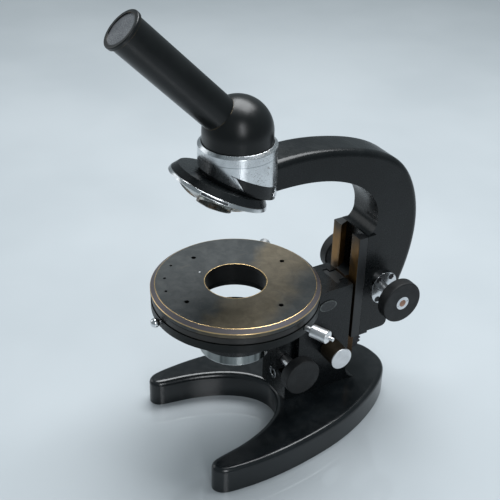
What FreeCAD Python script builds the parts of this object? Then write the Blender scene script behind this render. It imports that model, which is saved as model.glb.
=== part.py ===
import FreeCAD, Part
import math
import os
import Sketcher

# A monocular laboratory microscope on a horseshoe foot, in millimetres. +Z is up, the foot stands on
# z = 0 and the optical axis is x = y = 0. The eyepiece and the prongs face -Y, the arm is at +Y.

DIMENSIONS = {
    # horseshoe foot
    "foot_height": 21.5,
    "foot_half_width": 63.9,
    "foot_back": 132.5,
    "foot_crotch": 34.0,
    "foot_edge_radius": 4.0,
    # pillar, a block on the foot whose rear carries the focusing slide
    "pillar_half_width": 16.85,
    "pillar_front": 34.5,
    "pillar_step": 44.0,
    "pillar_neck_front": 45.2,
    "pillar_rear": 90.0,
    "pillar_top": 111.5,
    "guide_thickness": 5.5,
    "bolt_radius": 4.0,
    "bolt_head_radius": 6.5,
    "socket_height": 37.7,
    "socket_bore_radius": 2.3,
    "socket_radius": 3.6,
    "socket_flange_radius": 4.8,
    "socket_front": 33.2,
    # focusing slide: T head in the pillar, dovetail in the arm, rack behind it
    "bar_bottom": 37.0,
    "bar_top": 113.0,
    "bar_neck": 6.5,
    "bar_head": 10.0,
    "bar_head_front": 80.1,
    "slide_gap": 0.1,
    "rail_front": 92.5,
    "rail_rear": 100.0,
    "rail_gap_front": 7.0,
    "rail_gap_rear": 10.4,
    "dovetail_gap": 0.2,
    # arm
    "arm_half_width": 15.0,
    "arm_edge_radius": 5.0,
    "block_bottom": 61.0,
    "block_top": 149.0,
    "block_rear": 107.5,
    "rack_channel_half": 5.2,
    "rack_channel_rear": 112.2,
    "rack_channel_top": 138.0,
    # coarse focus drive, its axis along X
    "coarse_y": 118.7,
    "coarse_z": 99.8,
    "coarse_shaft_radius": 3.5,
    "running_gap": 0.05,
    "coarse_module": 1.0,
    "coarse_teeth": 16,
    "coarse_pinion_half": 4.0,
    "coarse_knob_radius": 16.6,
    "coarse_knob_width": 8.7,
    "coarse_knob_near": 32.1,
    "coarse_knob_far": 46.4,
    "flange_width": 22.0,
    "flange_height": 27.0,
    "flange_thickness": 3.0,
    # fine focus drive, its axis along X
    "fine_y": 71.8,
    "fine_z": 60.6,
    "fine_shaft_radius": 3.0,
    "fine_cam_radius": 5.0,
    "fine_cam_throw": 0.6,
    "fine_knob_radius": 8.3,
    "fine_cap_radius": 8.8,
    "fine_knob_start": 18.5,
    "fine_knob_end": 33.8,
    "fine_cap_end": 35.0,
    # stage
    "stage_radius": 60.0,
    "stage_top_radius": 56.75,
    "stage_top_height": 132.5,
    "stage_bevel_height": 130.06,
    "stage_plate_bottom": 127.0,
    "stage_groove_bottom": 126.2,
    "stage_groove_radius": 57.5,
    "stage_rim_radius": 59.2,
    "stage_rim_bottom": 121.3,
    "stage_hole_radius": 21.6,
    "stage_hub_radius": 25.5,
    "stage_hub_bore": 23.5,
    "stage_hub_bottom": 117.6,
    "stage_base_radius": 59.8,
    "stage_base_top": 121.0,
    "stage_base_bottom": 114.7,
    "stage_base_bore": 27.35,
    "stage_boss_bottom": 110.6,
    "stage_boss_radius": 33.0,
    "clip_hole_radius": 1.7,
    "clip_circle": 42.4,
    "pin_hole_radius": 1.0,
    "pin_hole_circle": 50.0,
    "screw_height": 118.9,
    # substage
    "substage_half_width": 11.0,
    "substage_front": 28.6,
    "substage_bottom": 49.0,
    "substage_top": 72.0,
    "condenser_y": 36.7,
    "condenser_z": 57.7,
    "condenser_module": 0.8,
    "condenser_teeth": 12,
    "condenser_shaft_radius": 3.85,
    "condenser_spindle_radius": 2.5,
    "condenser_knob_radius": 14.1,
    "condenser_knob_start": 28.8,
    "condenser_knob_end": 37.3,
    "sleeve_radius": 26.3,
    "sleeve_bore": 24.4,
    "sleeve_bottom": 77.4,
    "sleeve_top": 100.0,
    "carrier_bottom": 88.0,
    "carrier_top": 98.0,
    "carrier_radius": 30.0,
    # head and collar
    "collar_radius": 26.16,
    "collar_bore": 21.95,
    "collar_rebate": 23.75,
    "collar_rebate_bottom": 236.0,
    "collar_edge_height": 238.65,
    "collar_top": 240.5,
    "collar_top_radius": 24.2,
    "spigot_radius": 21.9,
    "spigot_bottom": 230.0,
    "dome_radius": 23.4,
    "dome_height": 247.3,
    "dome_bore": 19.5,
    "head_turn": -4.66,
    "tube_tilt": 44.35,
    "tube_radius": 12.5,
    "tube_bore": 11.65,
    "tube_start": 19.0,
    "tube_end": 103.2,
    "eyepiece_end": 105.7,
    "eyepiece_rim_radius": 13.84,
    "eyepiece_barrel_radius": 11.6,
    "eyepiece_barrel_bore": 10.9,
    "eyepiece_cap_bore": 11.3,
    # revolving nosepiece, on an axis tilted forward
    "nosepiece_tilt": 26.0,
    "nosepiece_y": -13.4,
    "nosepiece_z": 211.35,
    "port_apex": 30.57,
    "port_radius": 9.9,
    "port_light_radius": 8.4,
    "port_mouth": -9.5,
    "port_shoulder": -4.75,
    "port_count": 3,
    "ring_radius": 33.8,
    "ring_lower_radius": 34.8,
    "ring_height": 2.4,
    "cone_radius": 33.0,
    "cone_tip_radius": 9.0,
    "cone_height": 11.7,
    "cover_radius": 33.6,
    "cover_top_radius": 30.5,
    "cover_top": 4.4,
    "collar_bottom_height": 212.7,
    "mount_bottom_height": 210.0,
    "mount_top_height": 220.1,
    "mount_foot_radius": 25.2,
    "notch_front_y": -15.4,
    "notch_front_height": 227.1,
    "notch_rear_y": 17.6,
    "notch_rear_height": 211.0,
    "pivot_radius": 3.5,
}

doc = FreeCAD.newDocument("microscope")
sheet = doc.addObject("Spreadsheet::Sheet", "dims")
for row, (alias, number) in enumerate(DIMENSIONS.items(), start=1):
    sheet.set("A%d" % row, str(number))
    sheet.setAlias("A%d" % row, alias)
doc.recompute()

nodes = {}
UPRIGHT = FreeCAD.Rotation()
AXES = {
    "+Z": UPRIGHT,
    "-Z": FreeCAD.Rotation(FreeCAD.Vector(1, 0, 0), 180),
    "+X": FreeCAD.Rotation(FreeCAD.Vector(0, 1, 0), 90),
    "-X": FreeCAD.Rotation(FreeCAD.Vector(0, 1, 0), -90),
    "+Y": FreeCAD.Rotation(FreeCAD.Vector(1, 0, 0), -90),
    "-Y": FreeCAD.Rotation(FreeCAD.Vector(1, 0, 0), 90),
}


class Size:
    """A length: its value now, and the expression that keeps it bound to the sheet."""

    def __init__(self, value, text):
        self.value = value
        self.text = text

    def combine(self, sign, other, value):
        return Size(value, "(%s %s %s)" % (self.text, sign, size(other).text))

    def __add__(self, other):
        return self.combine("+", other, self.value + size(other).value)

    def __sub__(self, other):
        return self.combine("-", other, self.value - size(other).value)

    def __mul__(self, other):
        return self.combine("*", other, self.value * size(other).value)

    def __neg__(self):
        return Size(-self.value, "(-1 * %s)" % self.text)


def size(number):
    if isinstance(number, Size):
        return number
    return Size(float(number), "(%.6f)" % number)


def dim(alias):
    return Size(float(DIMENSIONS[alias]), "dims.%s" % alias)


# ---- helpers that make bound objects -------------------------------------------------------------


def bind(thing, **sizes):
    for name, value in sizes.items():
        thing.setExpression(name, size(value).text)
    return thing


def put(thing, x=0, y=0, z=0, turn=UPRIGHT):
    thing.Placement = FreeCAD.Placement(FreeCAD.Vector(), turn)
    for name, value in (("x", x), ("y", y), ("z", z)):
        thing.setExpression("Placement.Base." + name, size(value).text)
    return thing


def cylinder(radius, length, x=0, y=0, z=0, axis="+Z"):
    thing = doc.addObject("Part::Cylinder", "cylinder")
    bind(thing, Radius=radius, Height=length)
    return put(thing, x, y, z, AXES[axis])


def cone(radius, end_radius, length, x=0, y=0, z=0, axis="+Z"):
    thing = doc.addObject("Part::Cone", "cone")
    bind(thing, Radius1=radius, Radius2=end_radius, Height=length)
    return put(thing, x, y, z, AXES[axis])


def sphere(radius, x=0, y=0, z=0):
    thing = doc.addObject("Part::Sphere", "sphere")
    bind(thing, Radius=radius)
    return put(thing, x, y, z)


def box(xs, ys, zs):
    low = [size(pair[0]) for pair in (xs, ys, zs)]
    span = [size(pair[1]) - size(pair[0]) for pair in (xs, ys, zs)]
    thing = doc.addObject("Part::Box", "box")
    bind(thing, Length=span[0], Width=span[1], Height=span[2])
    return put(thing, *low)


def both_sides(half):
    return (-size(half), size(half))


def cut(base, *tools):
    thing = doc.addObject("Part::Cut", "cut")
    thing.Base = base
    thing.Tool = tools[0] if len(tools) == 1 else fuse(*tools)
    return thing


def fuse(*shapes):
    thing = doc.addObject("Part::MultiFuse", "fuse")
    thing.Shapes = list(shapes)
    return thing


def common(*shapes):
    thing = doc.addObject("Part::MultiCommon", "common")
    thing.Shapes = list(shapes)
    return thing


def ring(outer, inner, bottom, top):
    height = size(top) - bottom
    return cut(cylinder(outer, height, z=bottom), cylinder(inner, height + 2, z=size(bottom) - 1))


def soften(thing, radius, chosen):
    """Round the edges of a primitive that the test picks."""
    doc.recompute()
    edges = [n + 1 for n, edge in enumerate(thing.Shape.Edges) if chosen(edge)]
    rounded = doc.addObject("Part::Fillet", "softened")
    rounded.Base = thing
    rounded.Edges = [(n, radius, radius) for n in edges]
    return rounded


def node(name, thing):
    thing.Label = name
    nodes[name] = thing
    return thing


# ---- helpers for sketched bodies -----------------------------------------------------------------


def new_body(name):
    return doc.addObject("PartDesign::Body", name + "_body")


def sketch_on(body, role):
    plane = [part for part in body.Origin.OriginFeatures if part.Role == role][0]
    sketch = body.newObject("Sketcher::SketchObject", "outline")
    sketch.AttachmentSupport = (plane, [""])
    sketch.MapMode = "FlatFace"
    return sketch


def vector(point):
    return FreeCAD.Vector(size(point[0]).value, size(point[1]).value, 0)


def pin(sketch, edge, end, point):
    """Fix one corner of an outline at its bound coordinates."""
    for kind, axis, coordinate in (("DistanceX", -2, point[0]), ("DistanceY", -1, point[1])):
        coordinate = size(coordinate)
        if coordinate.value == 0:
            sketch.addConstraint(Sketcher.Constraint("PointOnObject", edge, end, axis))
            continue
        index = sketch.addConstraint(Sketcher.Constraint(kind, edge, end, coordinate.value))
        if "dims" in coordinate.text:
            sketch.setExpression("Constraints[%d]" % index, coordinate.text)


def draw(sketch, start, *runs):
    """Draw a closed outline. A run is its end point alone (a line), a point on the way and the end
    (an arc), or several points (a smooth curve through them all)."""
    here = start
    edges = []
    for run in runs:
        points = [vector(here)] + [vector(point) for point in run]
        if len(points) == 2:
            curve = Part.LineSegment(points[0], points[1])
        elif len(points) == 3:
            curve = Part.Arc(*points)
        else:
            curve = Part.BSplineCurve()
            curve.interpolate(points)
        edge = sketch.addGeometry(curve, False)
        forward = (sketch.getPoint(edge, 1) - points[0]).Length < 1e-6
        first, last = (1, 2) if forward else (2, 1)
        if len(points) == 3:
            radius = sketch.Geometry[edge].Radius
            sketch.addConstraint(Sketcher.Constraint("Radius", edge, radius))
        pin(sketch, edge, first, here)
        edges.append((edge, first, last))
        here = run[-1]
    for before, after in zip(edges, edges[1:] + edges[:1]):
        sketch.addConstraint(Sketcher.Constraint("Coincident", before[0], before[2], after[0], after[1]))


def pad(body, sketch, length, symmetric=False):
    feature = body.newObject("PartDesign::Pad", "pad")
    feature.Profile = sketch
    if symmetric:
        feature.SideType = "Symmetric"
    bind(feature, Length=length)
    return feature


def turned(name, outline):
    """A body of revolution about Z. The outline's points are (radius, height)."""
    body = new_body(name)
    sketch = sketch_on(body, "XZ_Plane")
    draw(sketch, outline[0], *[[point] for point in outline[1:] + outline[:1]])
    feature = body.newObject("PartDesign::Revolution", "turning")
    feature.Profile = sketch
    feature.ReferenceAxis = (sketch, ["V_Axis"])
    feature.Angle = 360
    return body


# ---- foot ----------------------------------------------------------------------------------------


FOOT_OUTLINE = [
    (14.2, 129.5),
    (29.5, 115.2),
    (43.2, 92.4),
    (53.3, 67.0),
    (60.6, 33.5),
    (63.9, -3.0),
    (63.5, -20.0),
    (62.0, -34.5),
    (59.2, -42.6),
    (53.4, -46.0),
    (47.4, -43.2),
    (45.0, -37.0),
    (42.4, -21.5),
    (37.4, -3.3),
    (28.7, 14.8),
    (15.6, 28.7),
]


def make_foot():
    """A horseshoe plate with one smooth outline, its upper edge rounded."""
    body = new_body("foot")
    sketch = sketch_on(body, "XY_Plane")
    left = [(-x, y) for x, y in reversed(FOOT_OUTLINE)]
    corners = [(0, DIMENSIONS["foot_back"])] + FOOT_OUTLINE + [(0, DIMENSIONS["foot_crotch"])] + left
    outline = Part.BSplineCurve()
    outline.interpolate([FreeCAD.Vector(x, y, 0) for x, y in corners], True)
    sketch.addGeometry(outline, False)
    foot_pad = pad(body, sketch, dim("foot_height"))
    doc.recompute()
    top = DIMENSIONS["foot_height"]
    names = []
    for n, edge in enumerate(foot_pad.Shape.Edges):
        if edge.BoundBox.ZMin > top - 0.01:
            names.append("Edge%d" % (n + 1))
    fillet = body.newObject("PartDesign::Fillet", "top_edge")
    fillet.Base = (foot_pad, names)
    bind(fillet, Radius=dim("foot_edge_radius"))
    recess = [cylinder(dim("bolt_head_radius") + 0.5, 10, y=y, z=-1) for y in BOLT_YS]
    holes = [cylinder(dim("bolt_radius") + 0.1, dim("foot_height") + 2, y=y, z=-1) for y in BOLT_YS]
    node("foot", cut(body, *(recess + holes)))
    node("foot_bolts", fuse(*[bolt(y) for y in BOLT_YS]))


BOLT_YS = (56.0, 76.0)


def bolt(y):
    head = cylinder(dim("bolt_head_radius"), 7.5, y=y, z=1)
    shank = cylinder(dim("bolt_radius"), 29, y=y, z=8.5)
    hexagon = doc.addObject("Part::Prism", "hexagon")
    hexagon.Polygon = 6
    hexagon.Circumradius = 3.4
    hexagon.Height = 5
    return cut(fuse(head, shank), put(hexagon, y=y, z=0))


# ---- pillar and what is fixed to it ----------------------------------------------------------------


def make_pillar():
    body = new_body("pillar")
    sketch = sketch_on(body, "YZ_Plane")
    floor = dim("foot_height")
    front = dim("pillar_front")
    neck = dim("pillar_neck_front")
    step = dim("pillar_step")
    top = dim("pillar_top")
    rear = dim("pillar_rear")
    joint = rear - dim("guide_thickness")
    slot_bottom = dim("bar_bottom") - 1.5
    draw(
        sketch,
        (front, floor),
        [(rear + 8, floor)],
        [(rear + 2.2, 25.5), (rear, 32.5)],
        [(rear, slot_bottom)],
        [(joint, slot_bottom)],
        [(joint, top)],
        [(neck, top)],
        [(neck, step)],
        [(front, step)],
        [(front, floor)],
    )
    pad(body, sketch, dim("pillar_half_width") * 2, symmetric=True)
    gap = dim("slide_gap")
    head_slot = box(both_sides(dim("bar_head") + gap), (dim("bar_head_front") - gap, joint + 1),
                    (slot_bottom, top + 1))
    cam_room = box(both_sides(8), (62.5, dim("bar_head_front")), (50, 74.5))
    shaft_bore = cylinder(dim("fine_shaft_radius") + dim("running_gap"), 60, x=-30, y=dim("fine_y"),
                          z=dim("fine_z"), axis="+X")
    socket_bore = cylinder(dim("socket_radius"), 12, y=front - 1, z=dim("socket_height"), axis="+Y")
    bolt_holes = [cylinder(dim("bolt_radius") + 0.05, 18, y=y, z=20.5) for y in BOLT_YS]
    guide_holes = [cylinder(1.8, 12, x=x, y=76, z=z, axis="+Y") for x, z in GUIDE_SCREW_PLACES]
    rail_holes = [cylinder(1.6, 8, x=0, y=44, z=z, axis="+Y") for z in RAIL_SCREW_ZS]
    bracket_holes = [cylinder(2.0, 12, x=x, y=52.5, z=102) for x in BRACKET_SCREW_XS]
    node("pillar", cut(body, head_slot, cam_room, shaft_bore, socket_bore,
                       *(bolt_holes + guide_holes + rail_holes + bracket_holes)))


GUIDE_SCREW_PLACES = [(side * 13.4, z) for side in (-1, 1) for z in (44.0, 74.0, 104.0)]
RAIL_SCREW_ZS = (54.0, 80.0, 102.0)
BRACKET_SCREW_XS = (-8.0, 8.0)


def make_slide_guides():
    rear = dim("pillar_rear")
    joint = rear - dim("guide_thickness")
    inner = dim("bar_neck") + dim("slide_gap")
    outer = dim("pillar_half_width")
    heights = (dim("bar_bottom") - 1.5, dim("pillar_top"))
    for name, side in (("left_slide_guide", -1), ("right_slide_guide", 1)):
        xs = (inner, outer) if side > 0 else (-outer, -inner)
        plate = box(xs, (joint, rear), heights)
        places = [(x, z) for x, z in GUIDE_SCREW_PLACES if x * side > 0]
        shanks = [cylinder(1.8, 10, x=x, y=82, z=z, axis="+Y") for x, z in places]
        heads = [cylinder(3.2, 3, x=x, y=87.4, z=z, axis="+Y") for x, z in places]
        node(name, cut(plate, *(shanks + heads)))
    node("guide_screws", fuse(*[slotted_screw(x, z) for x, z in GUIDE_SCREW_PLACES]))


def slotted_screw(x, z):
    head = cylinder(3.1, 2.3, x=x, y=87.4, z=z, axis="+Y")
    shank = cylinder(1.75, 10, x=x, y=77.5, z=z, axis="+Y")
    slot = box((x - 4, x + 4), (89.0, 90.0), (z - 0.4, z + 0.4))
    return cut(fuse(head, shank), slot)


def make_mirror_socket():
    front = dim("socket_front")
    height = dim("socket_height")
    flange = cylinder(dim("socket_flange_radius"), dim("pillar_front") - front, y=front, z=height, axis="+Y")
    barrel = cylinder(dim("socket_radius"), 11, y=dim("pillar_front"), z=height, axis="+Y")
    bore = cylinder(dim("socket_bore_radius"), 12, y=front - 1, z=height, axis="+Y")
    node("mirror_socket", cut(fuse(flange, barrel), bore))


def make_badge():
    oval = doc.addObject("Part::Ellipse", "oval")
    oval.MajorRadius = 7.5
    oval.MinorRadius = 4.5
    plate = doc.addObject("Part::Extrusion", "badge_plate")
    plate.Base = oval
    plate.DirMode = "Custom"
    plate.Dir = FreeCAD.Vector(0, 0, 1)
    plate.LengthFwd = 0.8
    plate.Solid = True
    flat_on_side = FreeCAD.Rotation(FreeCAD.Vector(1, 1, 1), 120)
    node("badge", put(plate, x=dim("pillar_half_width"), y=68.5, z=99, turn=flat_on_side))


def make_substage_rail():
    """Dovetail rail on the pillar's front, with the condenser's rack let into it."""
    body = new_body("substage_rail")
    sketch = sketch_on(body, "XY_Plane")
    back = dim("pillar_neck_front")
    front = back - 2.6
    draw(sketch, (-6.5, back), [(6.5, back)], [(9.0, front)], [(-9.0, front)], [(-6.5, back)])
    pad(body, sketch, RAIL_TOP - dim("pillar_step"))
    put(body, z=dim("pillar_step"))
    screw_holes = [cylinder(1.6, 6, y=42, z=z, axis="+Y") for z in RAIL_SCREW_ZS]
    node("substage_rail", cut(body, *screw_holes))
    node("rail_screws", fuse(*[cylinder(1.55, 8, y=42.6, z=z, axis="+Y") for z in RAIL_SCREW_ZS]))
    rack = rack_shape(
        module=DIMENSIONS["condenser_module"],
        pitch_y=DIMENSIONS["condenser_y"] + pitch_radius("condenser"),
        back_y=DIMENSIONS["pillar_neck_front"] - 2.6,
        half_width=3.0,
        bottom=50.0,
        top=108.0,
        mesh_z=DIMENSIONS["condenser_z"],
    )
    make_feature("substage_rack", rack)


RAIL_TOP = size(109.0)


# ---- gears: straight-sided racks and involute pinions ------------------------------------------------

PRESSURE = math.radians(20)
BACKLASH = 0.24


def make_feature(name, shape):
    feature = doc.addObject("Part::Feature", name + "_shape")
    feature.Shape = shape
    return node(name, feature)


def pitch_radius(drive):
    return DIMENSIONS[drive + "_module"] * DIMENSIONS[drive + "_teeth"] / 2


def rack_shape(module, pitch_y, back_y, half_width, bottom, top, mesh_z):
    """A rack along Z whose teeth point away from back_y, with a tooth centred at mesh_z."""
    towards = 1 if pitch_y > back_y else -1
    tip = pitch_y + towards * module
    root = pitch_y - towards * 1.25 * module
    step = math.pi * module
    half_tip = step / 4 - BACKLASH / 2 - module * math.tan(PRESSURE)
    half_root = step / 4 - BACKLASH / 2 + 1.25 * module * math.tan(PRESSURE)
    count = int((top - mesh_z - half_root) / step)
    start = -int((mesh_z - bottom - half_root) / step)
    points = [(back_y, bottom), (root, bottom)]
    for tooth in range(start, count + 1):
        z = mesh_z + tooth * step
        points += [(root, z - half_root), (tip, z - half_tip), (tip, z + half_tip), (root, z + half_root)]
    points += [(root, top), (back_y, top), (back_y, bottom)]
    face = Part.Face(Part.makePolygon([FreeCAD.Vector(-half_width, y, z) for y, z in points]))
    return face.extrude(FreeCAD.Vector(2 * half_width, 0, 0))


def pinion_shape(module, teeth, centre_y, centre_z, half_width, bore, gap_towards):
    """A spur pinion about an axis along X, with a tooth gap centred on gap_towards (-1 or +1 in Y)."""
    pitch = module * teeth / 2
    base = pitch * math.cos(PRESSURE)
    tip = pitch + module
    root = pitch - 1.25 * module
    flank_radii = [max(base, root) + (tip - max(base, root)) * k / 4 for k in range(5)]
    half_at_pitch = (math.pi * module / 2 - BACKLASH) / 2 / pitch

    def roll(radius):
        angle = math.acos(min(1.0, base / radius))
        return math.tan(angle) - angle

    points = []
    for tooth in range(teeth):
        middle = (tooth + 0.5) * 2 * math.pi / teeth
        halves = [half_at_pitch + roll(pitch) - roll(radius) for radius in flank_radii]
        rising = [(root, middle - halves[0])] if root < base else []
        rising += [(radius, middle - half) for radius, half in zip(flank_radii, halves)]
        falling = [(radius, 2 * middle - angle) for radius, angle in reversed(rising)]
        points += rising + falling
    corners = []
    for radius, angle in points:
        y = centre_y + gap_towards * radius * math.cos(angle)
        z = centre_z + radius * math.sin(angle)
        corners.append(FreeCAD.Vector(-half_width, y, z))
    corners.append(corners[0])
    blank = Part.Face(Part.makePolygon(corners)).extrude(FreeCAD.Vector(2 * half_width, 0, 0))
    hole = Part.makeCylinder(bore, 4 * half_width, FreeCAD.Vector(-2 * half_width, centre_y, centre_z),
                             FreeCAD.Vector(1, 0, 0))
    return blank.cut(hole)


# ---- focusing slide --------------------------------------------------------------------------------


def make_focusing_slide():
    body = new_body("dovetail_bar")
    sketch = sketch_on(body, "XY_Plane")
    head = dim("bar_head")
    neck = dim("bar_neck")
    front = dim("bar_head_front")
    shoulder = dim("pillar_rear") - dim("guide_thickness") - dim("slide_gap")
    start = dim("rail_front")
    end = dim("rail_rear") - dim("dovetail_gap")
    waist = dim("rail_gap_front") - dim("dovetail_gap")
    wide = dim("rail_gap_rear") - dim("dovetail_gap") - 0.09
    right = [(head, front), (head, shoulder), (neck, shoulder), (neck, start), (waist, start), (wide, end)]
    left = [(-x, y) for x, y in reversed(right)]
    draw(sketch, right[0], *[[point] for point in right[1:] + left + right[:1]])
    pad(body, sketch, dim("bar_top") - dim("bar_bottom"))
    put(body, z=dim("bar_bottom"))
    lowered = box(both_sides(12), (dim("bar_head_front") - 1, dim("pillar_rear")), (110.5, 115))
    cam_top = dim("fine_z") + dim("fine_cam_radius") + 0.35
    follower = box(both_sides(3.5), (66.0, dim("bar_head_front") + 0.5), (cam_top, cam_top + 5.5))
    node("dovetail_bar", cut(fuse(body, follower), lowered))
    rack = rack_shape(
        module=DIMENSIONS["coarse_module"],
        pitch_y=DIMENSIONS["coarse_y"] - pitch_radius("coarse"),
        back_y=DIMENSIONS["rail_rear"] - DIMENSIONS["dovetail_gap"],
        half_width=4.0,
        bottom=39.0,
        top=112.0,
        mesh_z=DIMENSIONS["coarse_z"],
    )
    make_feature("coarse_rack", rack)


# ---- arm -------------------------------------------------------------------------------------------


def long_back_edges(feature):
    """The names of the long edges where the arm's back meets its two flat sides."""
    half = DIMENSIONS["arm_half_width"]
    names = []
    for n, edge in enumerate(feature.Shape.Edges):
        bounds = edge.BoundBox
        on_side = bounds.XMax - bounds.XMin < 0.01 and abs(abs(bounds.XMin) - half) < 0.01
        at_back = bounds.YMax > DIMENSIONS["block_rear"] + 5
        if on_side and at_back and bounds.ZMax - bounds.ZMin > 20:
            names.append("Edge%d" % (n + 1))
    return names


def make_arm():
    body = new_body("arm")
    sketch = sketch_on(body, "YZ_Plane")
    rear = dim("rail_rear")
    low = dim("block_bottom")
    high = dim("block_top")
    draw(
        sketch,
        (16.0, 224.3),
        [(46.7, 226.4), (79.0, 222.3), (105.5, 214.4), (128.3, 199.5), (141.6, 176.5), (146.4, 148.0),
         (143.6, 122.0), (137.6, 101.5)],
        [(126.6, 65.5)],
        [(125.1, 62.2), (121.6, low)],
        [(rear, low)],
        [(rear, high)],
        [(101.6, high)],
        [(106.0, 152.6), (108.3, 161.0)],
        [(106.9, 171.5), (97.6, 185.6), (77.0, 198.3), (44.0, 205.2), (16.0, 204.8)],
        [(16.0, 224.3)],
    )
    arm_pad = pad(body, sketch, dim("arm_half_width") * 2, symmetric=True)
    doc.recompute()
    back_rounding = body.newObject("PartDesign::Fillet", "back_edges")
    back_rounding.Base = (arm_pad, long_back_edges(arm_pad))
    bind(back_rounding, Radius=dim("arm_edge_radius"))
    block = box(both_sides(dim("pillar_half_width")), (rear, dim("block_rear")), (low, high))
    axis = {"y": dim("coarse_y"), "z": dim("coarse_z")}
    socket = cylinder(dim("collar_radius"), 60, z=190)
    channel = box(both_sides(dim("rack_channel_half")), (rear - 1, dim("rack_channel_rear")),
                  (low - 1, dim("rack_channel_top")))
    cavity_radius = pitch_radius("coarse") + DIMENSIONS["coarse_module"] + 0.6
    cavity = cylinder(cavity_radius, dim("coarse_pinion_half") * 2 + 0.8, **axis,
                      x=-dim("coarse_pinion_half") - 0.4, axis="+X")
    bore = cylinder(dim("coarse_shaft_radius") + dim("running_gap"), 60, x=-30, **axis, axis="+X")
    screw_holes = [cylinder(1.5, 8, x=x, y=y, z=z, axis="+X") for x in (-16, 8) for y, z in
                   FLANGE_SCREW_PLACES]
    node("arm", cut(fuse(body, block), socket, channel, cavity, bore, *screw_holes))


FLANGE_SCREW_PLACES = [
    (DIMENSIONS["coarse_y"] + side * 5.6, DIMENSIONS["coarse_z"] + up * 8.6)
    for side in (-1, 1)
    for up in (-1, 1)
]


def make_rails():
    front = dim("rail_front")
    rear = dim("rail_rear")
    outer = dim("pillar_half_width")
    height = dim("block_top") - dim("block_bottom")
    for name, side in (("left_rail", -1), ("right_rail", 1)):
        body = new_body(name)
        sketch = sketch_on(body, "XY_Plane")
        corners = [
            (dim("rail_gap_front") * side, front),
            (outer * side, front),
            (outer * side, rear),
            (dim("rail_gap_rear") * side, rear),
        ]
        draw(sketch, corners[0], *[[point] for point in corners[1:] + corners[:1]])
        pad(body, sketch, height)
        node(name, put(body, z=dim("block_bottom")))


def make_flanges():
    thickness = dim("flange_thickness")
    y = dim("coarse_y")
    z = dim("coarse_z")
    reach = dim("flange_width") * 0.5
    straight = (dim("flange_height") - dim("flange_width")) * 0.5
    for name, side in (("near_flange", 1), ("far_flange", -1)):
        start = dim("arm_half_width") if side > 0 else -dim("arm_half_width") - thickness
        lobes = [cylinder(reach, thickness, x=start, y=y, z=z + straight * up, axis="+X") for up in (-1, 1)]
        middle = box((start, start + thickness), (y - reach, y + reach), (z - straight, z + straight))
        bore = cylinder(dim("coarse_shaft_radius") + dim("running_gap"), 10, x=start - 2, y=y, z=z, axis="+X")
        holes = [
            cylinder(1.7, 10, x=start - 2, y=hole_y, z=hole_z, axis="+X")
            for hole_y, hole_z in FLANGE_SCREW_PLACES
        ]
        outer_face = start + thickness - 1.2 if side > 0 else start - 1
        sinks = [
            cylinder(2.4, 2.2, x=outer_face, y=hole_y, z=hole_z, axis="+X")
            for hole_y, hole_z in FLANGE_SCREW_PLACES
        ]
        node(name, cut(fuse(*(lobes + [middle])), bore, *(holes + sinks)))
    screws = []
    for side in (-1, 1):
        for hole_y, hole_z in FLANGE_SCREW_PLACES:
            axis = "+X" if side > 0 else "-X"
            shank = cylinder(1.45, 8.5, x=side * 9, y=hole_y, z=hole_z, axis=axis)
            head = cylinder(2.3, 0.8, x=side * 16.8, y=hole_y, z=hole_z, axis=axis)
            screws.append(fuse(shank, head))
    node("flange_screws", fuse(*screws))


def tilted(thing, height=0.0, y=0.0, along=0.0):
    """Set a piece that was made about the nosepiece's own axis into its tilted place."""
    tilt = math.radians(DIMENSIONS["nosepiece_tilt"])
    turn = FreeCAD.Rotation(FreeCAD.Vector(1, 0, 0), -DIMENSIONS["nosepiece_tilt"])
    return put(thing, 0, size(y) + along * math.sin(tilt), size(height) + along * math.cos(tilt), turn)


def space_above(height):
    """All the room above the tilted plane that crosses the optical axis at this height."""
    return tilted(doc_cylinder(90, 90), height)


def space_below(height):
    return tilted(doc_cylinder(90, 90), height, along=-90.0)


def doc_cylinder(radius, length):
    thing = doc.addObject("Part::Cylinder", "room")
    thing.Radius = radius
    thing.Height = length
    return thing


def leaning_room(y, height, lean, low, high):
    """The room between two parallel walls that lean about X. low and high are their distances from
    the point (y, height), measured square to them."""
    thing = doc.addObject("Part::Box", "leaning_room")
    thing.Length = 60
    thing.Width = high - low
    thing.Height = 80
    turn = FreeCAD.Rotation(FreeCAD.Vector(1, 0, 0), lean)
    corner = turn.multVec(FreeCAD.Vector(-30, low, -40))
    return put(thing, corner.x, size(y) + corner.y, size(height) + corner.z, turn)


def notch_room(front_gap, rear_gap):
    """The dovetail-shaped room in the collar's wall, less a gap at each of its two leaning ends."""
    lean = DIMENSIONS["nosepiece_tilt"]
    front = leaning_room(dim("notch_front_y"), dim("notch_front_height"), lean, front_gap, 60)
    rear = leaning_room(dim("notch_rear_y"), dim("notch_rear_height"), -lean, -60, -rear_gap)
    return common(front, rear)


def make_collar():
    radius = dim("collar_radius")
    low = size(185)
    edge = dim("collar_edge_height")
    top = dim("collar_top")
    sleeve = cylinder(radius, edge - low, z=low)
    bevel = cone(radius, dim("collar_top_radius"), top - edge, z=edge)
    bore = cylinder(dim("collar_bore"), 60, z=low - 1)
    rebate = cylinder(dim("collar_rebate"), 10, z=dim("collar_rebate_bottom"))
    notch = common(notch_room(0, 0), space_below(dim("mount_top_height")))
    node("collar", cut(fuse(sleeve, bevel), bore, rebate, space_below(dim("collar_bottom_height")), notch))


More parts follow.
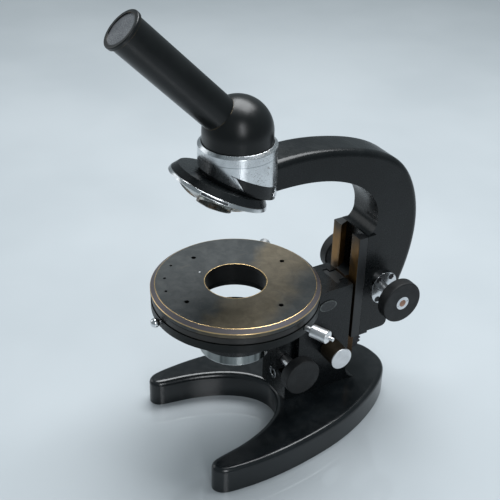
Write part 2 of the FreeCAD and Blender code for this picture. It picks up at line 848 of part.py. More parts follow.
def make_nosepiece_mount():
    """The slide-in plate under the collar, the fixed cover below it, and the pivot they carry."""
    blank = cylinder(dim("collar_radius") - 0.06, 60, z=185)
    light_way = cylinder(7, 80, z=170)
    pivot_hole = tilted(pivot_cylinder(dim("pivot_radius"), -20, 16), dim("nosepiece_z"), dim("nosepiece_y"))
    foot_top = dim("collar_bottom_height") - 0.1
    plate = common(blank, notch_room(SPRING_ROOM, 0.1), space_below(dim("mount_top_height") - 0.1),
                   space_above(foot_top - 0.5))
    foot = common(cylinder(dim("mount_foot_radius"), 60, z=185), space_below(foot_top),
                  space_above(dim("mount_bottom_height")))
    node("nosepiece_mount", cut(fuse(plate, foot), light_way, pivot_hole))
    slot = leaning_room(dim("notch_front_y"), dim("notch_front_height"), DIMENSIONS["nosepiece_tilt"],
                        0.15, SPRING_ROOM - 0.15)
    leaf = common(slot, box((17.6, 26), (-30, 0), (180, 240)), space_below(dim("mount_top_height") - 0.4),
                  space_above(foot_top), cylinder(dim("collar_radius") - 0.2, 60, z=185))
    node("click_spring", leaf)


SPRING_ROOM = 1.8


def pivot_cylinder(radius, low, high):
    return cylinder(radius, size(high) - low, z=low)


def make_nosepiece():
    """Fixed cover and pivot, then the ring and cone that revolve; made about their own axis."""
    place = {"height": dim("nosepiece_z"), "y": dim("nosepiece_y")}
    top = dim("cover_top")
    flank = cone(dim("cover_radius"), dim("cover_top_radius"), top - 0.15, z=0.15)
    reach_up = DIMENSIONS["mount_bottom_height"] - DIMENSIONS["nosepiece_z"]
    tilt = math.radians(DIMENSIONS["nosepiece_tilt"])
    seat = -DIMENSIONS["nosepiece_y"] * math.sin(tilt) + reach_up * math.cos(tilt)
    boss = cylinder(15, size(seat) - top, z=top)
    pivot_hole = cylinder(dim("pivot_radius"), 20, z=-5)
    light_way = port(0, 8.0, -5.0, 12.0)
    node("nosepiece_cover", tilted(cut(fuse(flank, boss), pivot_hole, light_way), **place))

    bottom = -dim("ring_height") - dim("cone_height")
    pin_ = pivot_cylinder(dim("pivot_radius"), bottom, 11.0)
    screw_head = cylinder(6.0, 1.4, z=bottom - 1.6)
    slot = box(both_sides(7), both_sides(0.5), (bottom - 3, bottom - 1.1))
    neck = cylinder(dim("pivot_radius"), 1.0, z=bottom - 0.6)
    node("nosepiece_pivot", tilted(cut(fuse(pin_, neck, screw_head), slot), **place))

    height = dim("ring_height")
    band = cone(dim("ring_lower_radius"), dim("ring_radius"), height, z=-height)
    node("revolver_ring", tilted(cut(band, cylinder(30.2, 6, z=-4)), **place))

    shell = cone(dim("cone_tip_radius"), dim("cone_radius"), dim("cone_height"), z=bottom)
    spigot = cylinder(30.2, height - 0.1, z=-height)
    mouth = DIMENSIONS["port_mouth"]
    shoulder = DIMENSIONS["port_shoulder"]
    numbers = range(DIMENSIONS["port_count"])
    lips = [port(n, dim("port_radius") + 1.8, mouth, shoulder - 1.5) for n in numbers]
    threads = [port(n, dim("port_radius"), -30.0, shoulder) for n in numbers]
    light_ways = [port(n, dim("port_light_radius"), -30.0, 12.0) for n in numbers]
    running = cylinder(dim("pivot_radius") + dim("running_gap"), 30, z=-20)
    node("revolver_cone", tilted(cut(fuse(shell, spigot, *lips), running, *(threads + light_ways)), **place))


def port(number, radius, low, high):
    """A cylinder along one objective's axis: the axes meet above, at the apex, and lean by the tilt."""
    tilt = DIMENSIONS["nosepiece_tilt"]
    apex = DIMENSIONS["port_apex"]
    around = FreeCAD.Rotation(FreeCAD.Vector(0, 0, 1), 360.0 * number / DIMENSIONS["port_count"])
    lean = FreeCAD.Rotation(FreeCAD.Vector(1, 0, 0), tilt)
    turn = around.multiply(lean)
    start = (low - apex) / math.cos(math.radians(tilt))
    place = turn.multVec(FreeCAD.Vector(0, 0, start))
    thing = doc.addObject("Part::Cylinder", "port")
    bind(thing, Radius=radius)
    thing.Height = (high - low) / math.cos(math.radians(tilt))
    thing.Placement = FreeCAD.Placement(FreeCAD.Vector(place.x, place.y, place.z + apex), turn)
    return thing


# ---- focus drives ----------------------------------------------------------------------------------


def knob(radius, start, width, y, z, side, edge=1.2):
    """A disc knob on an axis along X, its edges rounded; start is its inner face's distance from x = 0."""
    disc = cylinder(radius, width, x=size(start) * side, y=y, z=z, axis="+X" if side > 0 else "-X")
    return soften(disc, edge, lambda line: line.Length > 20 and line.Curve.TypeId == "Part::GeomCircle")


def make_coarse_drive():
    y = dim("coarse_y")
    z = dim("coarse_z")
    radius = dim("coarse_shaft_radius")
    width = dim("coarse_knob_width")
    near = dim("coarse_knob_near")
    far = dim("coarse_knob_far") - width
    shaft = cylinder(radius, near + far + width * 2 - 5, x=-far - width + 2.5, y=y, z=z, axis="+X")
    node("coarse_shaft", shaft)
    pinion = pinion_shape(
        DIMENSIONS["coarse_module"], DIMENSIONS["coarse_teeth"], DIMENSIONS["coarse_y"],
        DIMENSIONS["coarse_z"], DIMENSIONS["coarse_pinion_half"], DIMENSIONS["coarse_shaft_radius"], -1,
    )
    make_feature("coarse_pinion", pinion)
    washers = []
    screws = []
    for name, start, side in (("near_coarse_knob", near, 1), ("far_coarse_knob", far, -1)):
        disc = knob(dim("coarse_knob_radius"), start, width, y, z, side)
        axis = "+X" if side > 0 else "-X"
        bore = cylinder(radius, width - 2.5, x=start * side, y=y, z=z, axis=axis)
        face = (start + width) * side
        seat = cylinder(5.4, 2.5, x=face - 0.8 * side, y=y, z=z, axis=axis)
        screw_hole = cylinder(2.8, 6, x=face - 4 * side, y=y, z=z, axis=axis)
        node(name, cut(disc, bore, seat, screw_hole))
        washer = cylinder(5.4, 1.1, x=face - 0.8 * side, y=y, z=z, axis=axis)
        hole = cylinder(2.8, 3, x=face - 1.5 * side, y=y, z=z, axis=axis)
        key_holes = [
            cylinder(0.55, 3, x=face - 0.3 * side, y=y + 4.0 * way, z=z + 1.0 * way, axis=axis)
            for way in (-1, 1)
        ]
        washers.append(cut(washer, hole, *key_holes))
        screws.append(cylinder(2.8, 3.0, x=face - 2.5 * side, y=y, z=z, axis=axis))
    node("knob_washers", fuse(*washers))
    node("knob_screws", fuse(*screws))


def make_fine_drive():
    y = dim("fine_y")
    z = dim("fine_z")
    end = dim("fine_knob_end") - 2
    shaft = cylinder(dim("fine_shaft_radius"), end * 2, x=-end, y=y, z=z, axis="+X")
    cam = cylinder(dim("fine_cam_radius"), 7, x=-3.5, y=y + dim("fine_cam_throw"), z=z, axis="+X")
    node("fine_shaft", fuse(shaft, cam))
    caps = []
    for name, side in (("near_fine_knob", 1), ("far_fine_knob", -1)):
        axis = "+X" if side > 0 else "-X"
        start = dim("fine_knob_start") * side
        width = dim("fine_knob_end") - dim("fine_knob_start")
        barrel = cylinder(dim("fine_knob_radius"), width, x=start, y=y, z=z, axis=axis)
        bore = cylinder(dim("fine_shaft_radius"), width - 2, x=start, y=y, z=z, axis=axis)
        node(name, cut(barrel, bore))
        face = dim("fine_knob_end") * side
        cap = cylinder(dim("fine_cap_radius"), dim("fine_cap_end") - dim("fine_knob_end"), x=face, y=y, z=z,
                       axis=axis)
        caps.append(cap)
    node("fine_knob_caps", fuse(*caps))


# ---- stage -----------------------------------------------------------------------------------------

CLIP_HOLE_ANGLES = (17.7, 99.3, 197.5, 280.0)
PIN_HOLE_ANGLES = (219.7, 239.0, 257.7)
SCREW_ANGLES = {"centring_screw_right": 24.0, "centring_screw_left": 134.0}
GRIP_STARTS = {"centring_screw_right": 65.0, "centring_screw_left": 63.3}
PLUNGER_ANGLE = -88.0


def at_angle(radius, angle):
    return radius * math.cos(math.radians(angle)), radius * math.sin(math.radians(angle))


def make_stage():
    top = dim("stage_top_height")
    bevel = dim("stage_bevel_height")
    under = dim("stage_plate_bottom")
    groove = dim("stage_groove_bottom")
    hole = dim("stage_hole_radius")
    hub = dim("stage_hub_radius")
    bore = dim("stage_hub_bore")
    hub_bottom = dim("stage_hub_bottom")
    plate = turned("stage_top", [
        (hole, top),
        (dim("stage_top_radius"), top),
        (dim("stage_radius"), bevel),
        (dim("stage_radius"), under),
        (dim("stage_groove_radius"), under),
        (dim("stage_groove_radius"), groove),
        (hub, groove),
        (hub, hub_bottom),
        (bore, hub_bottom),
        (bore, top - 3),
        (hole, top - 3),
    ])
    holes = [through_hole(DIMENSIONS["clip_circle"], angle, "clip_hole_radius") for angle in CLIP_HOLE_ANGLES]
    holes += [
        through_hole(DIMENSIONS["pin_hole_circle"], angle, "pin_hole_radius") for angle in PIN_HOLE_ANGLES
    ]
    pin_x, pin_y = at_angle(27.4, 220.4)
    pin_seat = cylinder(0.7, 4, x=pin_x, y=pin_y, z=top - 2)
    node("stage_top", cut(plate, pin_seat, *holes))
    node("stage_pin", cylinder(0.7, 2.4, x=pin_x, y=pin_y, z=top - 2))
    node("stage_rim", ring(dim("stage_rim_radius"), 48, dim("stage_rim_bottom"), groove))


def through_hole(circle, angle, radius):
    x, y = at_angle(circle, angle)
    return cylinder(dim(radius), 20, x=x, y=y, z=120)


def make_stage_base():
    bottom = dim("stage_base_bottom")
    floor = bottom + 2.4
    radius = dim("stage_base_radius")
    bore = dim("stage_base_bore")
    boss = dim("stage_boss_radius")
    dish = turned("stage_base", [
        (bore, dim("stage_boss_bottom")),
        (boss, dim("stage_boss_bottom")),
        (boss, bottom),
        (radius, bottom),
        (radius, dim("stage_base_top")),
        (radius - 3, dim("stage_base_top")),
        (radius - 3, floor),
        (bore, floor),
    ])
    tapped = []
    for angle in SCREW_ANGLES.values():
        tapped.append(radial(1.65, 54, 62, angle))
    tapped.append(radial(2.25, 54, 62, PLUNGER_ANGLE))
    bracket_holes = [cylinder(2.0, 8, x=x, y=52.5, z=110) for x in BRACKET_SCREW_XS]
    node("stage_base", cut(dish, *(tapped + bracket_holes)))
    hub_gap = dim("stage_hub_radius") + dim("running_gap")
    node("centring_ring", ring(53.8, hub_gap, floor + 0.1, dim("stage_base_top") - 0.1))
    bracket = box(both_sides(14), (30, 58.5), (dim("pillar_top"), bottom))
    holes = [cylinder(2.0, 8, x=x, y=52.5, z=110) for x in BRACKET_SCREW_XS]
    node("stage_bracket", cut(bracket, cylinder(boss, 8, z=110), *holes))
    node("bracket_screws", fuse(*[bracket_screw(x) for x in BRACKET_SCREW_XS]))
    stem = radial(2.2, 54.2, 63.3, PLUNGER_ANGLE)
    x, y = at_angle(63.3, PLUNGER_ANGLE)
    node("spring_plunger", fuse(stem, sphere(3.4, x=x, y=y, z=dim("screw_height"))))


def bracket_screw(x):
    return cylinder(1.95, 13.5, x=x, y=52.5, z=103)


def radial(radius, start, end, angle):
    """A cylinder along a radius of the stage, at the height of the centring screws."""
    thing = doc.addObject("Part::Cylinder", "radial")
    bind(thing, Radius=radius)
    thing.Height = end - start
    x, y = at_angle(start, angle)
    around = FreeCAD.Rotation(FreeCAD.Vector(0, 0, 1), angle)
    return put(thing, x, y, dim("screw_height"), around.multiply(AXES["+X"]))


def make_centring_screws():
    for name, angle in SCREW_ANGLES.items():
        start = GRIP_STARTS[name]
        thread = radial(1.6, 53.9, 61, angle)
        neck = radial(2.15, 60.2, start + 1, angle)
        blank = radial(4.6, start, start + 12.8, angle)
        grip = soften(blank, 0.7, lambda line: line.Length > 20 and line.Closed)
        tip = radial(1.4, start + 12, start + 16.8, angle)
        node(name, fuse(thread, neck, grip, tip))


# ---- substage --------------------------------------------------------------------------------------


def make_substage():
    back = dim("pillar_neck_front")
    half = dim("substage_half_width")
    bottom = dim("substage_bottom")
    top = dim("substage_top")
    y = dim("condenser_y")
    z = dim("condenser_z")
    body = new_body("substage_slide")
    sketch = sketch_on(body, "XY_Plane")
    front = dim("substage_front")
    face = back - 0.2
    lip = 6.9
    wide = 9.25
    channel = back - 2.8
    groove = 3.4
    groove_front = 40.3
    right = [(half, front), (half, face), (lip, face), (wide, channel), (groove, channel),
             (groove, groove_front)]
    left = [(-size(x), point_y) for x, point_y in reversed(right)]
    draw(sketch, right[0], *[[point] for point in right[1:] + left + right[:1]])
    pad(body, sketch, top - bottom)
    put(body, z=bottom)
    spindle = dim("condenser_spindle_radius") + dim("running_gap")
    bore = cylinder(spindle, 40, x=-20, y=y, z=z, axis="+X")
    cavity = cylinder(6.1, 7.4, x=-3.7, y=y, z=z, axis="+X")
    node("substage_slide", cut(body, bore, cavity))

    sleeve = dim("sleeve_radius")
    low = dim("carrier_bottom")
    high = dim("carrier_top")
    hoop = cylinder(dim("carrier_radius"), high - low, z=low)
    bridge = box(both_sides(half), (24, 40), (top, high))
    node("condenser_carrier", cut(fuse(hoop, bridge), cylinder(sleeve, 40, z=70)))
    node("condenser_sleeve", turned("condenser_sleeve", [
        (dim("sleeve_bore"), dim("sleeve_bottom") + 0.8),
        (dim("sleeve_bore") + 0.6, dim("sleeve_bottom")),
        (sleeve - 0.5, dim("sleeve_bottom")),
        (sleeve, dim("sleeve_bottom") + 0.5),
        (sleeve, dim("sleeve_top")),
        (dim("sleeve_bore"), dim("sleeve_top")),
    ]))


def make_condenser_drive():
    y = dim("condenser_y")
    z = dim("condenser_z")
    half = dim("substage_half_width")
    start = dim("condenser_knob_start")
    collar_start = half + 0.2
    spindle = cylinder(dim("condenser_spindle_radius"), half + 9 + 0.2, x=-9, y=y, z=z, axis="+X")
    shaft = cylinder(dim("condenser_shaft_radius"), start - collar_start + 5, x=collar_start, y=y, z=z,
                     axis="+X")
    node("condenser_shaft", fuse(spindle, shaft))
    pinion = pinion_shape(
        DIMENSIONS["condenser_module"], DIMENSIONS["condenser_teeth"], DIMENSIONS["condenser_y"],
        DIMENSIONS["condenser_z"], 3.0, DIMENSIONS["condenser_spindle_radius"], 1,
    )
    make_feature("condenser_pinion", pinion)
    width = dim("condenser_knob_end") - start
    disc = knob(dim("condenser_knob_radius"), start, width, y, z, 1, edge=0.8)
    bore = cylinder(dim("condenser_shaft_radius"), 5, x=start, y=y, z=z, axis="+X")
    node("condenser_knob", cut(disc, bore))


# ---- head and eyepiece -----------------------------------------------------------------------------


def along_tube(thing, start):
    """Set a piece made about Z on the eyepiece tube's axis, start millimetres from the dome's centre."""
    turn = FreeCAD.Rotation(FreeCAD.Vector(0, 0, 1), DIMENSIONS["head_turn"])
    lean = FreeCAD.Rotation(FreeCAD.Vector(1, 0, 0), DIMENSIONS["tube_tilt"])
    both = turn.multiply(lean)
    way = both.multVec(FreeCAD.Vector(0, 0, 1))
    start = size(start)
    return put(thing, start * way.x, start * way.y, dim("dome_height") + start * way.z, both)


def tube_cylinder(radius, start, end):
    thing = doc.addObject("Part::Cylinder", "on_tube")
    bind(thing, Radius=radius, Height=size(end) - start)
    return along_tube(thing, start)


def make_head():
    centre = dim("dome_height")
    radius = dim("dome_radius")
    low = dim("spigot_bottom")
    shoulder = dim("collar_rebate_bottom") + 0.3
    ball = sphere(radius, z=centre)
    ball.Angle1 = 0
    skirt = cylinder(radius, centre - shoulder, z=shoulder)
    spigot = cylinder(dim("spigot_radius"), shoulder - low, z=low)
    hollow = sphere(dim("dome_bore"), z=centre)
    way_in = cylinder(dim("dome_bore"), centre - low + 1, z=low - 1)
    tube_hole = tube_cylinder(dim("tube_radius"), 0, 40)
    node("head_housing", cut(fuse(ball, skirt, spigot), hollow, way_in, tube_hole))
    wall = tube_cylinder(dim("tube_radius"), dim("tube_start"), dim("tube_end"))
    bore = tube_cylinder(dim("tube_bore"), dim("tube_start") - 1, dim("tube_end") + 1)
    node("eyepiece_tube", cut(wall, bore))

    prism = doc.addObject("Part::Wedge", "prism_block")
    prism.Xmin, prism.Xmax = -8.0, 8.0
    prism.Ymin, prism.Ymax = -9.0, 9.0
    prism.Zmin, prism.Zmax = -9.0, 9.0
    prism.X2min, prism.X2max = -8.0, 8.0
    prism.Z2min, prism.Z2max = -9.0, -5.0
    turn = FreeCAD.Rotation(FreeCAD.Vector(0, 0, 1), DIMENSIONS["head_turn"])
    node("prism", put(prism, y=-1.5, z=centre - 1, turn=turn))
    plate = box(both_sides(10), (-14, 14), (centre - 12.5, centre - 10.1))
    seat = cut(common(plate, cylinder(dim("dome_bore") - 0.1, 20, z=centre - 20)),
               cylinder(7, 20, z=centre - 20))
    ring_ = ring(dim("dome_bore"), dim("dome_bore") - 3, low + 1.0, centre - 12.5)
    node("prism_seat", fuse(seat, ring_))


def make_eyepiece():
    end = dim("eyepiece_end")
    rim_start = dim("tube_end")
    barrel = dim("eyepiece_barrel_radius")
    bore = dim("eyepiece_barrel_bore")
    body = tube_cylinder(barrel, 62, rim_start + 0.02)
    node("eyepiece_barrel", cut(body, tube_cylinder(bore, 60, end)))
    rim_disc = tube_cylinder(dim("eyepiece_rim_radius"), rim_start + 0.02, end)
    soft_rim = soften(rim_disc, 0.7, lambda line: line.Closed and line.Length > 60 and
                      line.CenterOfMass.z > 322.3)
    mouth = dim("eyepiece_cap_bore")
    node("eyepiece_cap", cut(soft_rim, tube_cylinder(mouth, 100, end + 1)))
    node("eye_lens", tube_cylinder(mouth, end - 2.4, end - 0.7))
    node("field_lens", tube_cylinder(bore, 63, 66))


make_foot()
make_pillar()
make_slide_guides()
make_mirror_socket()
make_badge()
make_substage_rail()
make_focusing_slide()
make_arm()
make_rails()
make_flanges()
make_collar()
make_nosepiece_mount()
make_nosepiece()
make_coarse_drive()
make_fine_drive()
make_stage()
make_stage_base()
make_centring_screws()
make_substage()
make_condenser_drive()
make_head()
make_eyepiece()
doc.recompute()

# ---- check and export ------------------------------------------------------------------------------

failed = [thing.Name for thing in doc.Objects if "Invalid" in thing.State or "Error" in thing.State]
if failed:
    raise RuntimeError("objects failed: %s" % ", ".join(failed))
for name, thing in nodes.items():
    if thing.Shape.isNull() or not thing.Shape.isValid() or not thing.Shape.Solids:
        raise RuntimeError("%s has no valid solid" % name)

os.makedirs("parts", exist_ok=True)
for name, thing in nodes.items():
    thing.Shape.exportStep("parts/%s.step" % name)
    print(name, len(thing.Shape.Solids), round(thing.Shape.Volume / 1000, 2), "cm3")
print(len(nodes), "nodes")
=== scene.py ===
import math

import bpy
from mathutils import Matrix, Vector

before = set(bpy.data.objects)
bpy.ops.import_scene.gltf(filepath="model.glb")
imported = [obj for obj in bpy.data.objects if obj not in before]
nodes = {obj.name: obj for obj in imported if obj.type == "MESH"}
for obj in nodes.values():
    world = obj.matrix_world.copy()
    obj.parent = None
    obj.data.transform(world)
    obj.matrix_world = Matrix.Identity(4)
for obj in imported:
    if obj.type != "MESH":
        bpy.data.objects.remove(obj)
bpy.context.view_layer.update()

MM = 0.001

# Places on the object that materials refer to, in metres and degrees. A pair is where something
# starts and where it is full.
COLLAR_LINE_Z = 0.2331
COLLAR_FRONT_Y, COLLAR_REAR_Y = -0.012, 0.006
# heights of the painted highlight along the condenser sleeve's lower rim
SLEEVE_HIGHLIGHT_TOP, SLEEVE_HIGHLIGHT_BOTTOM = 0.0785, 0.0779
BADGE_Y, BADGE_Z = 0.0685, 0.099
BADGE_HALF_LENGTH, BADGE_HALF_HEIGHT = 0.0075, 0.0045
NOSEPIECE_TILT = 26
NOSEPIECE_MOVE = (0, 0.10469, -0.184086)
PORT_ANGLES = (-34.5, 85.5, -154.5)
SLOT_HALF_ANGLE, SLOT_HALF_HEIGHT, SLOT_Z = 15.8, 0.00072, -0.00135
SHELL_BAND_BOTTOM, SHELL_BAND_TOP = -0.0032, -0.0027
SHELL_BROWN_TOP, SHELL_BROWN_BOTTOM = -0.0055, -0.0085
STAGE_FACE_RADIUS = 0.05672
STAGE_HOLE_LINE_RADIUS = 0.02185
STAGE_LIP_Z = 0.13005
STAGE_FACE_Z = (0.1316, 0.1320)
STAGE_HOLE_RIM_Z = (0.1321, 0.1324)
STAGE_LIP_REACH = (0.05955, 0.0598)
STAGE_BEVEL_REACH, STAGE_BEVEL_Z = (0.0568, 0.0571), (0.1296, 0.1300)
STAGE_HOLE_REACH, STAGE_HOLE_Z = (0.0262, 0.0215), (0.1318, 0.1308)
STAGE_SMALL_HOLES_REACH = (0.0545, 0.0535)
STAGE_BAND_NEAR, STAGE_BAND_FAR = (-0.004, 0.012), (0.052, 0.03)
# heights where the slides' painted shade starts and where it is full
RAIL_PAINTED_SHADE_ABOVE, RAIL_PAINTED_SHADE_BELOW = (0.137, 0.148), (0.118, 0.108)


# ---- node graphs --------------------------------------------------------------------------------


class Graph:
    """A material's node tree, built a line at a time."""

    def __init__(self, name):
        self.material = bpy.data.materials.new(name)
        self.material.use_nodes = True
        self.tree = self.material.node_tree
        self.tree.nodes.clear()
        self.output = self.add("ShaderNodeOutputMaterial")
        self.shader = self.add("ShaderNodeBsdfPrincipled")
        self.tree.links.new(self.shader.outputs["BSDF"], self.output.inputs["Surface"])
        self.place = self.add("ShaderNodeTexCoord").outputs["Object"]

    def add(self, kind, **settings):
        made = self.tree.nodes.new(kind)
        for name, value in settings.items():
            setattr(made, name, value)
        return made

    def feed(self, socket, value):
        if hasattr(value, "is_output"):
            self.tree.links.new(value, socket)
        elif isinstance(value, tuple) and len(value) == 3 and socket.type == "RGBA":
            socket.default_value = (*value, 1.0)
        else:
            socket.default_value = value

    def set(self, **inputs):
        for name, value in inputs.items():
            self.feed(self.shader.inputs[name.replace("_", " ")], value)

    def stretched(self, scale=(1, 1, 1), turn=(0, 0, 0), move=(0, 0, 0)):
        mapping = self.add("ShaderNodeMapping")
        self.feed(mapping.inputs["Vector"], self.place)
        mapping.inputs["Scale"].default_value = scale
        mapping.inputs["Rotation"].default_value = [math.radians(a) for a in turn]
        mapping.inputs["Location"].default_value = move
        return mapping.outputs["Vector"]

    def noise(self, size_mm, detail, rough, warp=0.0, where=None):
        made = self.add("ShaderNodeTexNoise")
        self.feed(made.inputs["Vector"], where or self.place)
        made.inputs["Scale"].default_value = 1.0 / (size_mm * MM)
        made.inputs["Detail"].default_value = detail
        made.inputs["Roughness"].default_value = rough
        made.inputs["Distortion"].default_value = warp
        return made.outputs["Fac"]

    def span(self, value, low, high, to_low=0.0, to_high=1.0):
        made = self.add("ShaderNodeMapRange", interpolation_type="SMOOTHSTEP")
        self.feed(made.inputs["Value"], value)
        for name, number in (
            ("From Min", low),
            ("From Max", high),
            ("To Min", to_low),
            ("To Max", to_high),
        ):
            made.inputs[name].default_value = number
        return made.outputs["Result"]

    def math(self, operation, a, b=0.0, clamp=False):
        made = self.add("ShaderNodeMath", operation=operation, use_clamp=clamp)
        self.feed(made.inputs[0], a)
        self.feed(made.inputs[1], b)
        return made.outputs["Value"]

    def mix(self, factor, a, b):
        made = self.add("ShaderNodeMix", data_type="RGBA")
        self.feed(made.inputs["Factor"], factor)
        self.feed(made.inputs["A"], a)
        self.feed(made.inputs["B"], b)
        return made.outputs["Result"]

    def blend(self, factor, a, b):
        made = self.add("ShaderNodeMix", data_type="FLOAT")
        self.feed(made.inputs["Factor"], factor)
        self.feed(made.inputs["A"], a)
        self.feed(made.inputs["B"], b)
        return made.outputs["Result"]

    def bump(self, height, strength, depth_mm, under=None):
        made = self.add("ShaderNodeBump")
        made.inputs["Strength"].default_value = strength
        made.inputs["Distance"].default_value = depth_mm * MM
        self.feed(made.inputs["Height"], height)
        if under is not None:
            self.feed(made.inputs["Normal"], under)
        return made.outputs["Normal"]

    def edges(self, radius_mm):
        """1 on convex and concave edges, 0 on open surface."""
        soft = self.add("ShaderNodeBevel", samples=4)
        soft.inputs["Radius"].default_value = radius_mm * MM
        plain = self.add("ShaderNodeNewGeometry").outputs["Normal"]
        dot = self.add("ShaderNodeVectorMath", operation="DOT_PRODUCT")
        self.feed(dot.inputs[0], soft.outputs["Normal"])
        self.feed(dot.inputs[1], plain)
        return self.span(self.math("SUBTRACT", 1.0, dot.outputs["Value"]), 0.02, 0.25)

    def axis(self, letter, vector=None):
        made = self.add("ShaderNodeSeparateXYZ")
        self.feed(made.inputs["Vector"], vector or self.place)
        return made.outputs[letter]

    def facing(self, letter):
        """The named component of the surface's own normal."""
        return self.axis(letter, self.add("ShaderNodeTexCoord").outputs["Normal"])

    def distance_from_axis(self):
        """Metres from the optical axis."""
        x = self.axis("X")
        y = self.axis("Y")
        squares = self.math("ADD", self.math("MULTIPLY", x, x), self.math("MULTIPLY", y, y))
        return self.math("SQRT", squares)

    def line_at(self, value, middle, half_width, core=0.45):
        """1 where the value is at the middle, falling to 0 at half_width either side."""
        off = self.math("ABSOLUTE", self.math("SUBTRACT", value, middle))
        return self.span(off, half_width, half_width * core)

    def side(self):
        """Minus one on the object's -X half and plus one on its +X half."""
        return self.math("SIGN", self.axis("X"))

    def faded(self, value, amount):
        """The value, weakened to the given share of itself."""
        return self.math("MULTIPLY", value, amount)


# ---- materials ----------------------------------------------------------------------------------


DUST_GREY = (0.13, 0.135, 0.135)
WEAR_ROUGHNESS = 0.45


def enamel(name, dark, light, rough, worn, wear_amount, dust=0.0, shine=0.36):
    """Black stove enamel: faint mottling, orange peel, scuffed edges."""
    g = Graph(name)
    cloud = g.noise(38, 4, 0.6)
    fine = g.noise(4.5, 3, 0.5)
    patch = g.noise(9, 4, 0.65)
    colour = g.mix(g.span(cloud, 0.35, 0.7), dark, light)
    edge = g.math("MULTIPLY", g.edges(0.55), g.span(patch, 0.46, 0.66))
    edge = g.math("MULTIPLY", edge, wear_amount, clamp=True)
    colour = g.mix(edge, colour, worn)
    if dust:
        film = g.span(g.noise(14, 5, 0.65, 0.5), 0.4, 0.75)
        specks = g.span(g.noise(0.8, 2, 0.6), 0.74, 0.8)
        up = g.span(g.facing("Z"), 0.3, 0.9)
        lying = g.math("MULTIPLY", g.math("MAXIMUM", g.faded(film, 0.22), specks), up)
        colour = g.mix(g.faded(lying, dust), colour, DUST_GREY)
    drawn_out = g.stretched((1, 0.12, 1), (12, 8, 35))
    scuffs = g.span(g.noise(3.0, 4, 0.7, where=drawn_out), 0.62, 0.78)
    roughness = g.blend(g.span(fine, 0.3, 0.7), rough - 0.02, rough + 0.03)
    roughness = g.blend(g.faded(scuffs, 0.25), roughness, rough + 0.16)
    roughness = g.blend(edge, roughness, WEAR_ROUGHNESS)
    peel = g.bump(g.noise(2.2, 1, 0.4), 0.012, 0.02)
    g.set(Base_Color=colour, Roughness=roughness, Normal=peel, Specular_IOR_Level=shine)
    return g.material


def everywhere(graph):
    return 1.0


def towards_arm(graph):
    """1 on the side by the arm, 0 at the front."""
    return graph.span(graph.axis("Y"), COLLAR_FRONT_Y, COLLAR_REAR_Y)


PIT_GREY = (0.25, 0.24, 0.23)
SCRIBED_GREY = (0.10, 0.12, 0.13)


def chrome(name, base, rough, cloudy, pits=0.0, pit_place=everywhere, scribed_at=0.0):
    """Old plating: bright, with dull patches, and where asked dark pin pits and a scribed line."""
    g = Graph(name)
    cloud = g.noise(11, 4, 0.6, 0.4)
    dull = tuple(c * 0.72 for c in base)
    colour = g.mix(g.faded(g.span(cloud, 0.4, 0.75), 0.5), base, dull)
    roughness = g.blend(g.span(cloud, 0.38, 0.72), rough, rough + cloudy)
    metal = 1.0
    normal = g.bump(g.noise(9.0, 1, 0.4), 0.012, 0.03)
    if pits:
        where = g.math("MULTIPLY", g.span(g.noise(12, 3, 0.6, 0.3), 0.34, 0.52), pit_place(g))
        small = g.math("MULTIPLY", g.span(g.noise(0.9, 2, 0.6), 0.58, 0.66), where)
        large = g.math("MULTIPLY", g.span(g.noise(2.6, 3, 0.7, 0.8), 0.58, 0.68), where)
        spots = g.math("MULTIPLY", g.math("MAXIMUM", small, large), pits, clamp=True)
        colour = g.mix(spots, colour, PIT_GREY)
        roughness = g.blend(spots, roughness, 0.6)
        metal = g.blend(spots, 1.0, 0.35)
        normal = g.bump(spots, 0.12, -0.04, normal)
    if scribed_at:
        line = g.line_at(g.axis("Z"), scribed_at, 0.00026)
        colour = g.mix(g.faded(line, 0.7), colour, SCRIBED_GREY)
    drawn_out = g.stretched((1, 1, 0.08), (20, 4, 0))
    scratches = g.span(g.noise(1.2, 3, 0.7, where=drawn_out), 0.6, 0.72)
    roughness = g.blend(g.faded(scratches, 0.4), roughness, rough + 0.2)
    g.set(Base_Color=colour, Roughness=roughness, Metallic=metal, Normal=normal)
    return g.material


def nosepiece_place(g):
    """Coordinates about the revolving nosepiece's own tilted axis."""
    return g.stretched(turn=(NOSEPIECE_TILT, 0, 0), move=NOSEPIECE_MOVE)


def slotted_ring(name):
    """The nosepiece's bright ring, with painted shade standing for a long click slot by each
    objective's port.
    """
    g = Graph(name)
    own = nosepiece_place(g)
    angle = g.math("ARCTAN2", g.axis("Y", own), g.axis("X", own))
    slots = 0.0
    for middle in PORT_ANGLES:
        slot = g.line_at(angle, math.radians(middle), math.radians(SLOT_HALF_ANGLE), 0.96)
        slots = g.math("MAXIMUM", slots, slot)
    depth = g.line_at(g.axis("Z", own), SLOT_Z, SLOT_HALF_HEIGHT, 0.8)
    dark = g.math("MULTIPLY", slots, depth)
    cloud = g.noise(7, 4, 0.6, 0.4)
    colour = g.mix(g.span(cloud, 0.4, 0.7), (0.78, 0.79, 0.80), (0.62, 0.64, 0.66))
    # painted shade: near-black colour where each click slot is, in place of the shade inside a cut
    # slot
    colour = g.mix(dark, colour, (0.022, 0.026, 0.032))
    roughness = g.blend(dark, g.blend(g.span(cloud, 0.35, 0.7), 0.2, 0.28), 0.5)
    g.set(Base_Color=colour, Roughness=roughness, Metallic=g.blend(dark, 1.0, 0.2),
          Normal=g.bump(dark, 0.4, -0.2))
    return g.material


